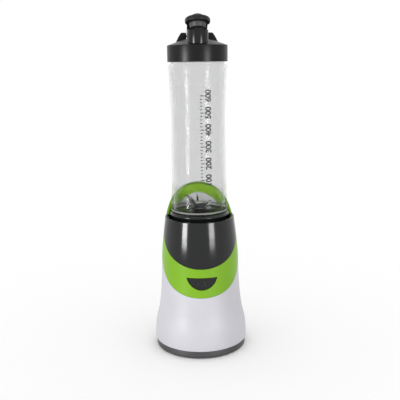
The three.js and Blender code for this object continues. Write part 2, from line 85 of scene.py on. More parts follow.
# The two edges of the green band: (depth, height).
BAND_TOP = [
    (-60, 101.6),
    (-47, 108.6),
    (-30, 120.5),
    (-15, 133.5),
    (0, 148.9),
    (10, 163),
    (20, 178),
    (29.5, 188.4),
    (39.5, 197.8),
    (60, 215),
]
BAND_FOOT = [
    (-60, 69.7),
    (-47, 74.3),
    (-30, 85.3),
    (-15, 99.6),
    (0, 118.4),
    (12, 139),
    (23, 163.5),
    (31, 173.5),
    (40, 188.5),
    (60, 222),
]
# Outside of the bottle: (height, radius).
SIDE = [(175, 34.4), (195, 33.3), (235, 32.7), (285, 32.3), (314, 33.4), (331, 34.4)]


def smooth(keys, at):
    """The smooth curve through (place, value) keys."""
    i = max(0, min(len(keys) - 2, sum(1 for k in keys if k[0] <= at) - 1))

    def slope(j):
        a, b = keys[max(0, j - 1)], keys[min(len(keys) - 1, j + 1)]
        return (b[1] - a[1]) / (b[0] - a[0])

    (z0, r0), (z1, r1) = keys[i], keys[i + 1]
    h = z1 - z0
    t = (at - z0) / h
    return (
        (2 * t**3 - 3 * t**2 + 1) * r0
        + (t**3 - 2 * t**2 + t) * h * slope(i)
        + (3 * t**2 - 2 * t**3) * r1
        + (t**3 - t**2) * h * slope(i + 1)
    )


def body_r(z):
    return smooth(BODY, z)


def band_top(y):
    return smooth(BAND_TOP, y)


def band_foot(y):
    return smooth(BAND_FOOT, y)


def on_front(radius, x, z):
    """The point at (x, z) on the front of a round of this radius."""
    return (x, -math.sqrt(radius * radius - x * x), z)


# ---------- materials ----------


def surface(
    name, colour, rough, metal=0.0, grain=700.0, bump=0.03, vary=0.05, stretch=(1, 1, 1), **sockets
):
    """A material whose colour, gloss and fine relief vary a little with noise.

    The other keywords set sockets of the shader, with _ for each space in their names.
    """
    mat = bpy.data.materials.new(name)
    mat.use_nodes = True
    nodes, links = mat.node_tree.nodes, mat.node_tree.links
    bsdf = nodes["Principled BSDF"]
    bsdf.inputs["Metallic"].default_value = metal
    for key, value in sockets.items():
        bsdf.inputs[key.replace("_", " ")].default_value = value
    place = nodes.new("ShaderNodeTexCoord")
    scale = nodes.new("ShaderNodeMapping")
    scale.inputs["Scale"].default_value = stretch
    links.new(place.outputs["Object"], scale.inputs["Vector"])
    broad = nodes.new("ShaderNodeTexNoise")
    broad.inputs["Scale"].default_value = 22.0
    broad.inputs["Detail"].default_value = 4.0
    links.new(scale.outputs["Vector"], broad.inputs["Vector"])
    tone = nodes.new("ShaderNodeValToRGB")
    tone.color_ramp.elements[0].position = 0.3
    tone.color_ramp.elements[1].position = 0.7
    tone.color_ramp.elements[0].color = [c * 0.96 for c in colour] + [1]
    tone.color_ramp.elements[1].color = [min(1, c * 1.04) for c in colour] + [1]
    links.new(broad.outputs["Fac"], tone.inputs["Fac"])
    links.new(tone.outputs["Color"], bsdf.inputs["Base Color"])
    gloss = nodes.new("ShaderNodeMapRange")
    gloss.inputs["To Min"].default_value = max(0.0, rough - vary)
    gloss.inputs["To Max"].default_value = rough + vary
    links.new(broad.outputs["Fac"], gloss.inputs["Value"])
    links.new(gloss.outputs["Result"], bsdf.inputs["Roughness"])
    fine = nodes.new("ShaderNodeTexNoise")
    fine.inputs["Scale"].default_value = grain
    fine.inputs["Detail"].default_value = 3.0
    links.new(scale.outputs["Vector"], fine.inputs["Vector"])
    relief = nodes.new("ShaderNodeBump")
    relief.inputs["Strength"].default_value = bump
    relief.inputs["Distance"].default_value = 0.0004
    links.new(fine.outputs["Fac"], relief.inputs["Height"])
    links.new(relief.outputs["Normal"], bsdf.inputs["Normal"])
    return mat


WHITE = surface(
    "white_gloss", (0.378, 0.376, 0.402), 0.42, grain=500, bump=0.02, Specular_IOR_Level=0.3
)
# Paler copy of the white for the shell's inner face: painted light, standing in for the light that
# the bottle keeps off the inside of the back wall.
WHITE_PAINTED_LIGHT_INSIDE = surface("white_inside_painted_light", (0.93, 0.93, 0.94), 0.5, grain=500, bump=0.02)
GREEN = surface(
    "lime_gloss", (0.127, 0.275, 0.005), 0.30, grain=500, bump=0.02, Specular_IOR_Level=0.3
)
# Paler copy of the lime for the band's inner face: painted light, standing in for the light that
# the bottle keeps off the inside of the arch.
GREEN_PAINTED_LIGHT_INSIDE = surface("lime_inside_painted_light", (0.30, 0.62, 0.012), 0.4, grain=500, bump=0.02)
DARK = surface(
    "charcoal_gloss", (0.0045, 0.0048, 0.005), 0.13, grain=420, bump=0.015, vary=0.03,
    Specular_IOR_Level=0.36,
)
LID = surface(
    "lid_satin", (0.0055, 0.0055, 0.006), 0.30, grain=420, bump=0.03, vary=0.04,
    Specular_IOR_Level=0.16,
)
SPOUT = surface(
    "spout_gloss", (0.006, 0.006, 0.0065), 0.16, grain=420, bump=0.02, vary=0.03,
    Specular_IOR_Level=0.22,
)
GRIP = surface(
    "stopper_satin", (0.008, 0.008, 0.0085), 0.32, grain=900, bump=0.12, Specular_IOR_Level=0.25
)
BLACK = surface("black_satin", (0.03, 0.03, 0.032), 0.45, grain=1200, bump=0.1)
RUBBER = surface("black_rubber", (0.022, 0.022, 0.023), 0.7, grain=1500, bump=0.2)
SILICONE = surface("grey_silicone", (0.028, 0.028, 0.030), 0.5, grain=1000, bump=0.08)
CLEAR = surface(
    "clear_copolyester", (0.32, 0.322, 0.327), 0.0, grain=30, bump=0.015, vary=0.0,
    Transmission_Weight=1.0, IOR=1.12, Alpha=0.26, Coat_Weight=0.35, Coat_Roughness=0.05,
)
# Paler grey for a thin ring of the bottle just above its foot: a painted highlight, standing in for
# the glint along the bottle's lower edge.
FOOT_RING_PAINTED_HIGHLIGHT = surface(
    "foot_ring_painted_highlight", (0.26, 0.262, 0.262), 0.30, grain=300, bump=0.05,
    Transmission_Weight=0.3, IOR=1.2,
)
INK = surface("dark_ink", (0.008, 0.009, 0.013), 0.5, grain=900, bump=0.05)
STEEL = surface(
    "bright_steel", (0.5, 0.5, 0.51), 0.2, 1.0, grain=300, bump=0.06, stretch=(1, 6, 1)
)
# Steel far darker than bare steel: painted reflection, standing in for the dark shell and lid that
# the blades mirror.
BLADE_STEEL_PAINTED_DARK = surface(
    "blade_steel_painted_dark_reflection", (0.085, 0.085, 0.09), 0.12, 1.0, grain=300, bump=0.06, stretch=(1, 6, 1)
)
TINWARE = surface(
    "steel_sheet", (0.26, 0.27, 0.28), 0.45, 1.0, grain=600, bump=0.1, stretch=(1, 1, 12)
)
COPPER = surface(
    "enamelled_copper", (0.6, 0.23, 0.08), 0.3, 1.0, grain=500, bump=0.3, stretch=(1, 1, 14)
)
BRASS = surface("brass", (0.6, 0.42, 0.14), 0.3, 1.0)
CARBON = surface("carbon", (0.03, 0.03, 0.032), 0.6)
BOARD = surface("circuit_board", (0.02, 0.13, 0.05), 0.4, grain=300, bump=0.1)
AMBER = surface("amber_case", (0.5, 0.32, 0.05), 0.35)

SLOTS = {
    "white_plastic": WHITE,
    "green_plastic": GREEN,
    "dark_plastic": DARK,
    "black_plastic": BLACK,
    "rubber": RUBBER,
    "silicone": SILICONE,
    "clear_plastic": CLEAR,
    "steel": STEEL,
    "lamination": TINWARE,
    "copper": COPPER,
    "brass": BRASS,
    "carbon": CARBON,
    "board": BOARD,
    "capacitor_case": AMBER,
}

# ---------- mesh tools ----------


def make(name, verts, faces, material, body, place=None, sharp=35):
    """A smooth shaded mesh in millimetres, riding on a body of the part."""
    mesh = bpy.data.meshes.new(name)
    mesh.from_pydata([tuple(c * MM for c in v) for v in verts], [], faces)
    bm = bmesh.new()
    bm.from_mesh(mesh)
    if place:
        bm.transform(place)
    bmesh.ops.recalc_face_normals(bm, faces=bm.faces)
    bm.to_mesh(mesh)
    bm.free()
    mesh.shade_smooth()
    mesh.set_sharp_from_angle(angle=math.radians(sharp))
    mesh.materials.append(material)
    obj = bpy.data.objects.new(name, mesh)
    bpy.context.scene.collection.objects.link(obj)
    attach(obj, body)
    return obj


def cut_away(obj, *tools):
    """Cuts the tools out of obj for good, and removes them."""
    for tool in tools:
        mod = obj.modifiers.new("cut", "BOOLEAN")
        mod.object, mod.operation, mod.solver = tool, "DIFFERENCE", "EXACT"
    graph = bpy.context.evaluated_depsgraph_get()
    made = bpy.data.meshes.new_from_object(obj.evaluated_get(graph))
    obj.modifiers.clear()
    old, obj.data = obj.data, made
    bpy.data.meshes.remove(old)
    bm = bmesh.new()
    bm.from_mesh(made)
    bmesh.ops.remove_doubles(bm, verts=bm.verts, dist=1e-7)
    bmesh.ops.dissolve_degenerate(bm, edges=bm.edges, dist=1e-7)
    bm.to_mesh(made)
    bm.free()
    made.shade_smooth()
    made.set_sharp_from_angle(angle=math.radians(30))
    for tool in tools:
        data = tool.data
        bpy.data.objects.remove(tool)
        bpy.data.meshes.remove(data)


def rounded(outline, steps=4):
    """Rounds each corner that has a third number, its fillet's length along each side."""
    out = []
    for i, p in enumerate(outline):
        if len(p) < 3:
            out.append((p[0], p[1]))
            continue
        ends = []
        for q in (outline[i - 1], outline[(i + 1) % len(outline)]):
            du, dv = q[0] - p[0], q[1] - p[1]
            length = math.hypot(du, dv)
            d = min(p[2], length * 0.49) / length
            ends.append((p[0] + du * d, p[1] + dv * d))
        for k in range(steps + 1):
            t = k / steps
            w = ((1 - t) ** 2, 2 * t * (1 - t), t * t)
            out.append(
                tuple(w[0] * ends[0][c] + w[1] * p[c] + w[2] * ends[1][c] for c in (0, 1))
            )
    return out


def quads(rings, n):
    """The faces between rings of n points, each ring with the next."""
    return [
        [k * n + i, k * n + (i + 1) % n, (k + 1) * n + (i + 1) % n, (k + 1) * n + i]
        for k in range(rings - 1)
        for i in range(n)
    ]


def end_faces(count, n):
    """The first and the last ring of n points, out of count points."""
    return [list(range(n)), list(range(count - n, count))[::-1]]


def lathe(name, outline, material, body, segments=144, place=None):
    """Revolves an outline of (radius, height, fillet) about the Z axis."""
    points = rounded(outline)
    verts, rows = [], []
    for r, z in points:
        if r < 1e-6:
            rows.append([len(verts)] * segments)
            verts.append((0, 0, z))
            continue
        rows.append(list(range(len(verts), len(verts) + segments)))
        for k in range(segments):
            a = 2 * math.pi * k / segments
            verts.append((r * math.sin(a), -r * math.cos(a), z))
    on_axis = points[0][0] < 1e-6 and points[-1][0] < 1e-6
    pairs = list(zip(rows, rows[1:])) + ([] if on_axis else [(rows[-1], rows[0])])
    faces = []
    for low, high in pairs:
        for k in range(segments):
            n = (k + 1) % segments
            face = [low[k], low[n], high[n], high[k]]
            face = [v for i, v in enumerate(face) if v != face[i - 1]]
            if len(face) > 2:
                faces.append(face)
    return make(name, verts, faces, material, body, place)


def ring(
    name, r_in, r_out, z0, z1, material, body, segments=96, fillet=0.25, place=None
):
    outline = [(r_in, z0, fillet), (r_out, z0, fillet), (r_out, z1, fillet), (r_in, z1, fillet)]
    return lathe(name, outline, material, body, segments, place)


def prism(
    name, outline, low, high, axis, material, body, bevel=0.0, place=None, tilt=None
):
    """Runs an outline of (y, z), (x, z) or (x, y) along X, Y or Z.

    tilt gives the high end of each point of the outline, in place of high.
    """
    points = rounded(outline)
    turn = {
        "X": lambda u, v, w: (w, u, v),
        "Y": lambda u, v, w: (u, w, v),
        "Z": lambda u, v, w: (u, v, w),
    }[axis]
    n = len(points)
    verts = [turn(u, v, low) for u, v in points]
    verts += [turn(u, v, tilt(u, v) if tilt else high) for u, v in points]
    faces = [list(range(n))[::-1], list(range(n, 2 * n))]
    faces += [[i, (i + 1) % n, n + (i + 1) % n, n + i] for i in range(n)]
    obj = make(name, verts, faces, material, body, place)
    if bevel:
        bm = bmesh.new()
        bm.from_mesh(obj.data)
        bm.normal_update()
        edges = [e for e in bm.edges if len(e.link_faces) == 2 and e.calc_face_angle(0) > 0.9]
        bmesh.ops.bevel(
            bm, geom=edges, offset=bevel * MM, segments=3, profile=0.5, affect="EDGES",
            clamp_overlap=True,
        )
        bm.to_mesh(obj.data)
        bm.free()
        obj.data.shade_smooth()
        obj.data.set_sharp_from_angle(angle=math.radians(35))
    return obj


def at(x, y, z=0.0):
    return Matrix.Translation((x * MM, y * MM, z * MM))


def about_pin(angle):
    """Turns about the hinge pin; positive lifts the front."""
    pin = at(0, PIN_Y, PIN_Z)
    return pin @ Matrix.Rotation(-angle, 4, "X") @ pin.inverted()


def around(degrees):
    return Matrix.Rotation(math.radians(degrees), 4, "Z")


def wall(name, foot, head, material, painted_light_inner=None, inner=WALL, span=None, rows=36):
    """Part of the base's wall, between two edges whose height depends on the depth y.

    foot and head give the edges' heights, inner is the thickness, span the part of the
    turn in degrees from the front; the second material, for the inner face, is a paler copy of the
    first: painted light standing in for the light that the bottle keeps off the inside.
    """
    columns = 256
    first, last = span or (-180, 180)
    count = columns if span is None else columns + 1

    def height(rule, a, depth):
        """Where the edge runs at the angle a: its height sets the radius and so its own depth."""
        z = 120.0
        for _ in range(60):
            z = 0.5 * z + 0.5 * rule(-math.cos(a) * (body_r(z) - depth))
        return z

    verts, sections = [], []
    for k in range(count):
        a = math.radians(first + (last - first) * k / columns)
        z0, z1 = height(foot, a, 0), height(head, a, 0)
        w0, w1 = height(foot, a, inner), height(head, a, inner)
        e = min(EDGE, (z1 - z0) / 3, (w1 - w0) / 3)
        section = []
        for t in (1.0, 0.6, 0.25, 0.0):
            section.append((e * t * t, z0 + e * (1 - t) ** 2))
        for i in range(1, rows):
            section.append((0.0, z0 + e + (z1 - z0 - 2 * e) * i / rows))
        for t in (0.0, 0.25, 0.6, 1.0):
            section.append((e * t * t, z1 - e * (1 - t) ** 2))
        section.append((inner - e / 2, w1))
        section.append((inner, w1 - e / 2))
        for i in range(rows - 1, 0, -3):
            section.append((inner, w0 + e + (w1 - w0 - 2 * e) * i / rows))
        section.append((inner, w0 + e / 2))
        section.append((inner - e / 2, w0))
        sections.append(range(len(verts), len(verts) + len(section)))
        for depth, z in section:
            r = body_r(z) - depth
            verts.append((r * math.sin(a), -r * math.cos(a), z))
    faces = []
    n = len(sections[0])
    for k in range(columns):
        a, b = sections[k], sections[(k + 1) % count]
        faces += [[a[i], b[i], b[(i + 1) % n], a[(i + 1) % n]] for i in range(n)]
    if span:
        faces += [list(sections[0]), list(sections[-1])[::-1]]
    obj = make(name, verts, faces, material, "base", sharp=50)
    if painted_light_inner:
        # The inner faces take the paler copy of the material: painted light on the inside of the
        # wall.
        first_inside = rows + 8
        obj.data.materials.append(painted_light_inner)
        for k, face in enumerate(obj.data.polygons):
            if k < n * columns and k % n >= first_inside:
                face.material_index = 1
    return obj


def half_moon(margin, steps=40):
    """The button's outline (x, z), grown by a margin."""
    r, centre, top = 17.9 + margin, 101.5, 97.7 + margin
    lift = math.asin((centre - top) / r)
    points = []
    for k in range(steps + 1):
        a = math.pi + lift + (math.pi - 2 * lift) * k / steps
        points.append((r * math.cos(a), centre + r * math.sin(a)))
    for k in range(1, 12):
        t = k / 12
        points.append((points[steps][0] * (1 - 2 * t), top))
    return points


# ---------- base ----------


def build_base():
    inlet_place = at(0, 0, INLET_Z) @ Matrix.Rotation(-math.pi / 2, 4, "X")
    shell = wall(
        "white_shell", lambda y: BODY[0][0], lambda y: band_foot(y) - SEAM, WHITE, WHITE_PAINTED_LIGHT_INSIDE, rows=60
    )
    inlet = lathe(
        "inlet_tool", [(0, 40), (6.3, 40), (6.3, 60), (0, 60)], WHITE, "base", 48,
        inlet_place,
    )
    cut_away(shell, inlet)
    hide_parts("base_shell")

    band = wall(
        "green_band_skin", lambda y: band_foot(y) + SEAM, lambda y: band_top(y) - SEAM, GREEN,
        GREEN_PAINTED_LIGHT_INSIDE,
    )
    hole = prism("hole_tool", half_moon(0.55), -60, -30, "Y", GREEN, "base")
    cut_away(band, hole)
    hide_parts("green_band")

    front = wall(
        "front_shell", lambda y: band_top(y) + SEAM, lambda y: RIM, DARK, inner=3.3,
        span=(-103.7, 103.7),
    )
    well = lathe(
        "well",
        [
            (5.2, 146), (38.75, 146), (38.75, 162.9, 0.3), (38.3, 162.9, 0.3),
            (WELL_R, 160.2, 0.8), (WELL_R, WELL_FLOOR, 1.2), (8.6, WELL_FLOOR, 0.8),
            (8.6, 150.3, 0.4), (7, 150.3, 0.2), (7, 147.3), (5.2, 147.3),
        ],
        DARK, "base",
    )
    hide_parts("socket_housing")
    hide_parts("socket_housing")
    for i, angle in enumerate(LUG_ANGLES):
        for j, side in enumerate((-8, 8)):
            prism(
                f"lug_guide_{i}{j}", [(35.95, -1, 0.3), (37.5, -1), (37.5, 1), (35.95, 1, 0.3)],
                WELL_FLOOR - 0.5, 158, "Z", DARK, "base", 0.25,
                around(angle + side),
            )
    for i, y in enumerate((-24.5, 24.5)):
        ring(
            f"motor_post_{i}", 2.3, 5, 121.3, 146.2, DARK, "base", 48,
            place=at(0, y),
        )

    cover = lathe(
        "foot_cover",
        [
            (0, 0.8), (54.9, 0.8, 1.2), (55.4, 2.2, 1), (54.9, 9.2, 0.4), (52.6, 9.2, 0.3),
            (52.6, 3.3), (0, 3.3),
        ],
        BLACK, "base", 192,
    )
    tools = []
    for i in range(8):
        tools.append(prism(
            f"slot_tool_{i}", [(10, -1.6, 1.2), (26, -1.6, 1.2), (26, 1.6, 1.2), (10, 1.6, 1.2)],
            0, 5, "Z", BLACK, "base", place=around(45 * i + 22.5),
        ))
    for i in range(4):
        tools.append(lathe(
            f"foot_tool_{i}", [(0, 0), (8.3, 0), (8.3, 2.2), (0, 2.2)], BLACK, "base",
            48, around(90 * i) @ at(FOOT_R, 0),
        ))
        tools.append(lathe(
            f"screw_tool_{i}", [(0, 0), (3.8, 0), (3.8, 4.2), (0, 4.2)], BLACK, "base",
            32, around(90 * i + 45) @ at(SCREW_R, 0),
        ))
    cut_away(cover, *tools)
    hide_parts("bottom_cover")
    for i in range(4):
        foot = lathe(
            f"rubber_foot_{i + 1}", [(0, 0), (8, 0, 1), (8, 1.9, 0.2), (0, 1.9)], RUBBER, "base",
            64, around(90 * i) @ at(FOOT_R, 0),
        )
        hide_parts(f"foot_{i + 1}")
    gland = lathe(
        "cord_gland_boot",
        [
            (0, 47.5), (7.6, 47.5, 0.4), (7.6, 52.2, 0.4), (6, 52.2), (6, 56.4, 0.7),
            (3.2, 56.4, 0.5), (3.2, 51), (0, 51),
        ],
        RUBBER, "base", 64, inlet_place,
    )
    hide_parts("cord_gland")
    cushion = ring("well_cushion", 27.5, 34.5, 148.8, 151.7, RUBBER, "base", 128, 0.7)
    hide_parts("jar_cushion")
    seal = ring("well_lip_seal", 4.4, 6.7, 147.6, 150.2, RUBBER, "base", 64, 0.4)
    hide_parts("well_seal")


# ---------- button ----------


def build_button():
    face, flange = half_moon(-0.05), half_moon(1.5)
    # Rings from the back round to the front: (outline, scale, depth below the band's surface).
    rows = [(flange, k / 10, 4.4) for k in range(1, 11)]
    rows += [(flange, 1.0, 3.2), (face, 1.0, 3.2)]
    rows += [(face, 1.0, 1.15), (face, 0.992, 0.8), (face, 0.975, 0.62), (face, 0.95, 0.6)]
    rows += [(face, k / 10, 0.6 + 0.12 * (1 - (k / 9.5) ** 2)) for k in range(9, 0, -1)]
    verts = []
    for outline, scale, depth in rows:
        for x, z in outline:
            z = BUTTON_Z + (z - BUTTON_Z) * scale
            verts.append(on_front(body_r(z) - depth, x * scale, z))
    n = len(face)
    faces = quads(len(rows), n)
    for first, depth in ((0, 4.4), ((len(rows) - 1) * n, 0.72)):
        hub = len(verts)
        verts.append((0, depth - body_r(BUTTON_Z), BUTTON_Z))
        faces += [[first + i, first + (i + 1) % n, hub] for i in range(n)]
    cap = make("button_cap", verts, faces, DARK, "button")
    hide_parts("power_button")
    stem = lathe(
        "button_stem", [(0, 38.1), (2.8, 38.1, 0.3), (2.8, 44.5), (0, 44.5)], DARK, "button",
        48, at(0, 0, 90) @ Matrix.Rotation(math.pi / 2, 4, "X"),
    )
    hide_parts("power_button")
    build_sign()


def build_sign():
    """The raised power sign on the button: an open ring and a stroke."""
    ring_points = []
    for k in range(49):
        a = math.radians(90 + 24 + (360 - 48) * k / 48)
        ring_points.append((SIGN_R * math.cos(a), SIGN_Z + SIGN_R * math.sin(a)))
    stroke = [(0, 90.8), (0, 92.2), (0, 93.8)]
    # Across a line: (side, depth below the band's surface).
    section = ((-0.42, 0.9), (-0.42, 0.52), (-0.25, 0.4), (0.25, 0.4), (0.42, 0.52), (0.42, 0.9))
    for i, points in enumerate((ring_points, stroke)):
        verts = []
        for k, (x, z) in enumerate(points):
            a, b = points[max(0, k - 1)], points[min(len(points) - 1, k + 1)]
            length = math.hypot(b[0] - a[0], b[1] - a[1])
            nx, nz = -(b[1] - a[1]) / length, (b[0] - a[0]) / length
            for off, depth in section:
                pz = z + nz * off
                verts.append(on_front(body_r(pz) - depth, x + nx * off, pz))
        faces = quads(len(points), len(section)) + end_faces(len(verts), len(section))
        make(f"power_sign_{i}", verts, faces, GRIP, "button")


# ---------- bottle and blade unit ----------


def side_points(offset):
    """The bottle's side, this far inside its outer face."""
    return [(smooth(SIDE, z) - offset, z) for z in range(175, 332, 4)]


def build_bottle():
    outer_foot = [(31.8, 158.3, 0.3), (31.8, 169.3, 0.3), (33.4, 169.6, 1.0), (34.3, 172, 1.2)]
    neck = [
        (35.3, 343, 0.6), (34.9, 343.5, 0.3), (32.9, 343.7, 0.4), (32.9, 360.5, 0.4),
        (30.2, 360.5, 0.4), (30.2, 347.5, 2), (31.8, 339.5, 3),
    ]
    inner_foot = [(31.2, 172.5, 1.5), (NECK_R, 169.6, 1.2), (NECK_R, 158.3, 0.3)]
    bottle = lathe(
        "bottle_glass",
        outer_foot + side_points(0) + neck + side_points(2.8)[::-1] + inner_foot,
        CLEAR, "jar", 160,
    )
    # The faces of that thin ring above the foot take the paler grey: painted highlight.
    bottle.data.materials.append(FOOT_RING_PAINTED_HIGHLIGHT)
    for face in bottle.data.polygons:
        if 171.4 * MM < face.center.z < 174 * MM and face.center.xy.length > 33 * MM:
            face.material_index = 1
    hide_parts("bottle")
    gasket = ring(
        "bottle_gasket_ring", 29.3, 31.8, 156.3, 158, SILICONE, "jar", 128
    )
    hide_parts("bottle_gasket")
    collar = lathe(
        "collar",
        [
            (26, 152, 0.4), (COLLAR_R, 152, 0.6), (COLLAR_R, 158, 0.4), (34.1, 159.2, 0.6),
            (34.1, 165.2, 0.5), (COLLAR_R, 165.9, 0.5), (COLLAR_R, 167.6, 0.7), (34.4, 168.2, 0.4),
            (34.2, 169, 0.3), (32.2, 169, 0.2), (32.2, 156), (28.9, 156), (28.9, PLATFORM, 1.4),
            (25.5, PLATFORM, 0.3), (25, 169.4, 0.3), (22, 169.4, 0.3), (21.4, PLATFORM, 0.3),
            (9.2, PLATFORM, 0.8), (8, 171.6, 0.6), (4.2, 171.6), (4.2, 170.7), (6.5, 170.7),
            (6.5, 162.6), (10, 162.6), (10, 166, 0.6), (26, 166, 0.8),
        ],
        DARK, "jar", 160,
    )
    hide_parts("blade_collar")
    for i, angle in enumerate(LUG_ANGLES):
        prism(
            f"lug_{i}", [(34.5, -3.4), (36.4, -3.4, 0.5), (36.4, 3.4, 0.5), (34.5, 3.4)], 153,
            157, "Z", DARK, "jar", 0.3, around(angle),
        )
    build_scale()


def build_scale():
    """Printed measure on the front of the bottle: ticks, and numbers turned to read upward."""

    def patch(name, x0, x1, z0, z1):
        """A thin printed rectangle that follows the bottle."""
        nx = max(1, int(abs(x1 - x0) / 1.0))
        nz = max(1, int(abs(z1 - z0) / 3.0))
        verts, faces = [], []
        for lift in (0.01, 0.06):
            for j in range(nz + 1):
                for i in range(nx + 1):
                    x, z = x0 + (x1 - x0) * i / nx, z0 + (z1 - z0) * j / nz
                    verts.append(on_front(smooth(SIDE, z) + lift, x, z))
        w, size = nx + 1, (nx + 1) * (nz + 1)

        def v(layer, i, j):
            return layer * size + j * w + i

        for j in range(nz):
            for i in range(nx):
                faces.append([v(0, i, j), v(0, i, j + 1), v(0, i + 1, j + 1), v(0, i + 1, j)])
                faces.append([v(1, i, j), v(1, i + 1, j), v(1, i + 1, j + 1), v(1, i, j + 1)])
        for i in range(nx):
            faces.append([v(0, i, 0), v(0, i + 1, 0), v(1, i + 1, 0), v(1, i, 0)])
            faces.append([v(0, i, nz), v(1, i, nz), v(1, i + 1, nz), v(0, i + 1, nz)])
        for j in range(nz):
            faces.append([v(0, 0, j), v(1, 0, j), v(1, 0, j + 1), v(0, 0, j + 1)])
            faces.append([v(0, nx, j), v(0, nx, j + 1), v(1, nx, j + 1), v(1, nx, j)])
        make(name, verts, faces, INK, "jar")

    low, step, numbers, between = 212, 19.4, 6, 5
    tick_x, number_x = 0.8, 13.2
    for k in range((numbers - 1) * between + 1):
        z = low + step * k / between
        length = 4.6 if k % between == 0 else 2.4
        patch(f"tick_{k}", tick_x, tick_x + length, z - 0.45, z + 0.45)
    for k in range(numbers):
        words = bpy.data.curves.new(f"number_{k}", "FONT")
        words.body = str(100 + 100 * k)
        words.size = 9.2
        words.offset = 0.32
        words.extrude = 0.025
        words.align_x = "CENTER"
        words.resolution_u = 4
        holder = bpy.data.objects.new(f"number_{k}", words)
        bpy.context.scene.collection.objects.link(holder)
        graph = bpy.context.evaluated_depsgraph_get()
        flat = bpy.data.meshes.new_from_object(holder.evaluated_get(graph))
        bm = bmesh.new()
        bm.from_mesh(flat)
        bmesh.ops.remove_doubles(bm, verts=bm.verts, dist=1e-4)
        bmesh.ops.triangulate(bm, faces=bm.faces)
        verts = []
        bm.verts.ensure_lookup_table()
        for v in bm.verts:
            z = low + step * k + v.co.x
            verts.append(on_front(smooth(SIDE, z) + 0.035 + v.co.z, number_x - v.co.y, z))
        faces = [[v.index for v in f.verts] for f in bm.faces]
        bm.free()
        bpy.data.objects.remove(holder)
        bpy.data.curves.remove(words)
        bpy.data.meshes.remove(flat)
        make(f"scale_number_{k}", verts, faces, INK, "jar")


def wing(name, z, bend, length, angle, width, heading):
    """One blade wing: flat to the bend, then curling to its angle and narrowing to a point."""
    curl, arc_steps, taper_steps = 4.0, 6, 8
    # Along the wing: (distance, height, lean, half width).
    x, h = bend - curl / 2, z
    stations = [(0.0, h, 0.0, width), (x, h, 0.0, width)]
    for k in range(1, arc_steps + 1):
        lean = math.radians(angle) * k / arc_steps
        x += curl / arc_steps * math.cos(lean)
        h += curl / arc_steps * math.sin(lean)
        stations.append((x, h, lean, width * (1 - 0.06 * k / arc_steps)))
    rest = length - curl / 2
    for k in range(1, taper_steps + 1):
        t = k / taper_steps
        x += rest / taper_steps * math.cos(lean)
        h += rest / taper_steps * math.sin(lean)
        stations.append((x, h, lean, width * (0.94 * (1 - t**1.6) + 0.05)))
    verts = []
    for px, pz, lean, w in stations:
        t = max(0.0, (px - bend) / max(1.0, stations[-1][0] - bend))
        shift = width * 0.45 * t**1.5
        ground = -w * 0.55 + shift
        section = (
            (-w + shift, 0.5), (ground, 0.0), (w + shift, 0.0), (w + shift, 1.0), (ground, 1.0)
        )
        for y, up in section:
            out = BLADE_THICK * up
            verts.append((px - out * math.sin(lean), y, pz + out * math.cos(lean)))
    m = len(section)
    faces = quads(len(stations), m) + end_faces(len(verts), m)
    return make(name, verts, faces, BLADE_STEEL_PAINTED_DARK, "blades", around(heading), sharp=25)


def build_blades():
    # Each blade: node, height, and two wings as (heading, bend, length, angle, half width).
    plans = (
        ("blade_lower", 173.2, ((25, 15, 9.5, -8, 5.0), (205, 15, 9.5, -8, 5.0))),
        ("blade_cross", 174.8, ((96, 9.6, 13, 64, 1.6), (278, 9, 9, 12, 3.8))),
        ("blade_upper", 176.4, ((140, 8, 14.4, 44, 4.2), (320, 8, 11.5, 37, 3.4))),
    )
    for node, z, wings in plans:
        hub = ring(
            node + "_hub", 3.4, 6.3, z, z + BLADE_THICK, BLADE_STEEL_PAINTED_DARK, "blades", 64, 0.1
        )
        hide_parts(node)
        for heading, bend, length, angle, width in wings:
            root = wing(f"{node}_wing_{heading}", z, bend, length, angle, width, heading)
            bm = bmesh.new()
            bm.from_mesh(root.data)
            axis = around(heading) @ Vector((1, 0, 0))
            bmesh.ops.bisect_plane(
                bm, geom=bm.verts[:] + bm.edges[:] + bm.faces[:], plane_co=axis * 0.0042,
                plane_no=axis, clear_inner=True,
            )
            bmesh.ops.holes_fill(bm, edges=[e for e in bm.edges if e.is_boundary])
            bmesh.ops.recalc_face_normals(bm, faces=bm.faces)
            bm.to_mesh(root.data)
            bm.free()
            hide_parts(node)
    shaft = lathe(
        "blade_spindle",
        [
            (0, 162), (SPINDLE_R, 162, 0.3), (SPINDLE_R, 172), (5.4, 172, 0.3),
            (5.4, 172.9, 0.3), (SPINDLE_R, 172.9), (SPINDLE_R, 180.8, 0.9), (0, 180.8),
        ],
        STEEL, "blades", 64,
    )
    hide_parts("blade_shaft")
    corners = [math.radians(60 * i) for i in range(6)]
    hexagon = [(5.6 * math.cos(a), 5.6 * math.sin(a), 0.5) for a in corners]
    nut = prism("hex_nut", hexagon, 178, 180.4, "Z", STEEL, "blades", 0.4)
    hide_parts("blade_nut")


# ---------- lid and stopper ----------


